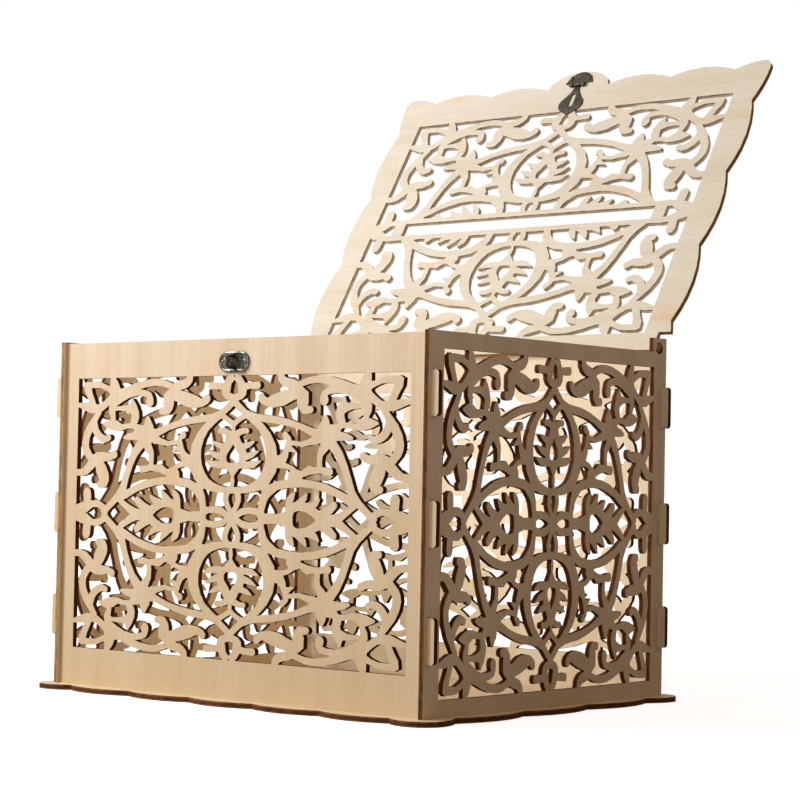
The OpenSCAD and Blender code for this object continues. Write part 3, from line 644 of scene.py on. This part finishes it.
right, up, out = Vector((1, 0, 0)), Vector((0, 0, 1)), Vector((0, -1, 0))
plate_low, plate_high = (Vector(corner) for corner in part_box("catch_plate"))
catch_size = (plate_high - plate_low) / MM
catch_place = Vector((
    (plate_low.x + plate_high.x) / 2, plate_high.y, (plate_low.z + plate_high.z) / 2,
))
plate = grown("catch_oval_plate", oval_plate_tree(), {
    "Length": catch_size.x - PLATE_SHORTER, "Height": catch_size.z - PLATE_LOWER,
    "Rim width": 1.9, "Rim height": catch_size.y, "Web thickness": WEB,
    "Basin length": 12.4, "Basin height": 9.2, "Bead width": 0.9, "Bead height": 0.8,
}, axes_at(catch_place, right, up, out))
finish_piece(plate, BOX, "catch_plate")

staple_low, staple_high = (Vector(corner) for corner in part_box("catch_staple"))
staple_out = (plate_high.y - staple_low.y) / MM
staple_middle = catch_place + out * (staple_out - STAPLE_ROOT) / 2 * MM
staple = grown("catch_wire_staple", staple_tree(), {
    "Length": staple_out + STAPLE_ROOT, "Height": (staple_high.z - staple_low.z) / MM,
    "Wire depth": STAPLE_DEPTH, "Wire width": STAPLE_WIDTH,
}, axes_at(staple_middle, out, up, -right))
finish_piece(staple, BOX, "catch_staple")

screws = grown("catch_round_head_screws", screws_tree("nickel_screws", dark_nickel), {
    **SCREW, "Apart": CATCH_SCREWS_APART, "Seed": 4,
}, axes_at(catch_place + out * WEB * MM, right, up, out))
finish_piece(screws, BOX, "catch_screws")

# The hasp's screws stand on its plate, under the lid
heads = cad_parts["hasp_screws"].data.vertices
under = sheets["lid"].normal.copy()
if under.y > 0:
    under.negate()
seat = max(vertex.co.dot(under) for vertex in heads) - HEAD_HEIGHT * MM
middle = sum((vertex.co for vertex in heads), Vector()) / len(heads)
hasp_place = middle + (seat - middle.dot(under)) * under
hasp_screws = grown("hasp_round_head_screws", screws_tree("browned_screws", antiqued_steel), {
    **SCREW, "Apart": HASP_SCREWS_APART, "Seed": 9,
}, axes_at(hasp_place, right, under.cross(right), under))
finish_piece(hasp_screws, LID, "hasp_screws")

for node, body in (("hasp_plate", LID), ("hasp_pin", LID), ("hasp_strap", STRAP)):
    finish_piece(softened(node, antiqued_steel, EDGE_ROUNDING), body, node)

# ---- studio, in metres and watts -----------------------------------------------------

FLOOR_HALF = 30.0
FLOOR_COLOUR = "#ADAFB3"
FLOOR_GLOW = 0.86  # under the box, and it grows to full white between the two distances
GLOW_START, GLOW_END = 0.3, 0.9
LAMP_AIM = Vector((0, 0, 0.12))
KEY_PLACE = Vector((-0.92, -0.87, 0.94))
KEY_SIZE = 0.45
KEY_POWER = 22.6
FRONT_PLACE = Vector((-0.15, -2.1, 0.5))
FRONT_SIZE = 1.2
FRONT_POWER = 7.0
FRONT_COLOUR = "#FFF4E4"
# A weak lamp inside the box stands for the light that the pale walls throw to each other
INNER_PLACE = Vector((0.06, -0.045, 0.11))
INNER_AIM = Vector((-0.14, 0.136, 0.11))
INNER_SIZE = 0.09
INNER_POWER = 0.12
INNER_COLOUR = "#FFF2D6"
FILL = 0.3
FILL_COLOUR = "#FFDFC2"


def see_white(tree):
    """1 for rays that see the studio as plain white: straight, in gloss or through glass."""
    path = tree.nodes.new("ShaderNodeLightPath")
    glossy = add(tree, "ShaderNodeMath", {"operation": "MAXIMUM"}, {
        0: path.outputs["Is Camera Ray"], 1: path.outputs["Is Glossy Ray"],
    })
    return add(tree, "ShaderNodeMath", {"operation": "MAXIMUM"}, {
        0: glossy, 1: path.outputs["Is Transmission Ray"],
    })


def make_floor():
    bpy.ops.mesh.primitive_plane_add(size=2 * FLOOR_HALF)
    floor = bpy.context.object
    floor.name = "studio_floor"
    material, tree, shader = start_material("white_paper_sweep")
    shader.inputs["Base Color"].default_value = linear(FLOOR_COLOUR)
    shader.inputs["Roughness"].default_value = 0.9
    shader.inputs["Specular IOR Level"].default_value = 0.0
    shader.inputs["Emission Color"].default_value = (1, 1, 1, 1)
    place = add(tree, "ShaderNodeTexCoord", {}, {}, "Object")
    away = add(tree, "ShaderNodeVectorMath", {"operation": "LENGTH"}, {"Vector": place}, "Value")
    level = add(tree, "ShaderNodeMapRange", {}, {
        "Value": away, "From Min": GLOW_START, "From Max": GLOW_END,
        "To Min": FLOOR_GLOW, "To Max": 1.0,
    })
    glow = add(tree, "ShaderNodeMath", {"operation": "MULTIPLY"}, {
        0: see_white(tree), 1: level,
    })
    tree.links.new(glow, shader.inputs["Emission Strength"])
    floor.data.materials.append(material)


def make_world():
    world = bpy.data.worlds.new("studio")
    bpy.context.scene.world = world
    world.use_nodes = True
    tree = world.node_tree
    tree.nodes.clear()
    fill = add(tree, "ShaderNodeBackground", {}, {
        "Color": linear(FILL_COLOUR), "Strength": FILL,
    })
    white = add(tree, "ShaderNodeBackground", {}, {"Color": (1, 1, 1, 1), "Strength": 1.0})
    sky = add(tree, "ShaderNodeMixShader", {}, {0: see_white(tree), 1: fill, 2: white})
    add(tree, "ShaderNodeOutputWorld", {}, {"Surface": sky})


def make_lamp(name, place, aim, size, power, colour):
    """A square lamp that faces the place it is aimed at."""
    light = bpy.data.lights.new(name, "AREA")
    light.size = size
    light.energy = power
    light.color = linear(colour)[:3]
    lamp = bpy.data.objects.new(name, light)
    bpy.context.scene.collection.objects.link(lamp)
    lamp.location = place
    lamp.rotation_euler = (place - aim).to_track_quat("Z", "Y").to_euler()
    return lamp


CAMERA_PLACE = Vector((0.88785, -1.02741, 0.12318))
CAMERA_YAW, CAMERA_PITCH, CAMERA_ROLL = -0.6962, 0.0364, 0.0192
CAMERA_LENS, CAMERA_SENSOR = 103.96, 36  # millimetres


def make_camera():
    data = bpy.data.cameras.new("camera")
    data.lens = CAMERA_LENS
    data.sensor_width = CAMERA_SENSOR
    data.clip_start, data.clip_end = 0.05, 100
    camera = bpy.data.objects.new("camera", data)
    bpy.context.scene.collection.objects.link(camera)
    level = math.cos(CAMERA_PITCH)
    ahead = Vector((
        math.sin(CAMERA_YAW) * level, math.cos(CAMERA_YAW) * level, math.sin(CAMERA_PITCH),
    ))
    right = Vector((math.cos(CAMERA_YAW), -math.sin(CAMERA_YAW), 0))
    up = right.cross(ahead)
    c, s = math.cos(CAMERA_ROLL), math.sin(CAMERA_ROLL)
    turn = Matrix((c * right + s * up, c * up - s * right, -ahead)).transposed()
    camera.matrix_world = Matrix.Translation(CAMERA_PLACE) @ turn.to_4x4()
    bpy.context.scene.camera = camera


make_floor()
make_world()
make_lamp("key", KEY_PLACE, LAMP_AIM, KEY_SIZE, KEY_POWER, "#FFFFFF")
make_lamp("front_fill", FRONT_PLACE, LAMP_AIM, FRONT_SIZE, FRONT_POWER, FRONT_COLOUR)
inner = make_lamp("inner_fill", INNER_PLACE, INNER_AIM, INNER_SIZE, INNER_POWER, INNER_COLOUR)
inner.visible_camera = inner.visible_glossy = inner.visible_transmission = False
make_camera()
bpy.context.scene.view_settings.view_transform = "Standard"
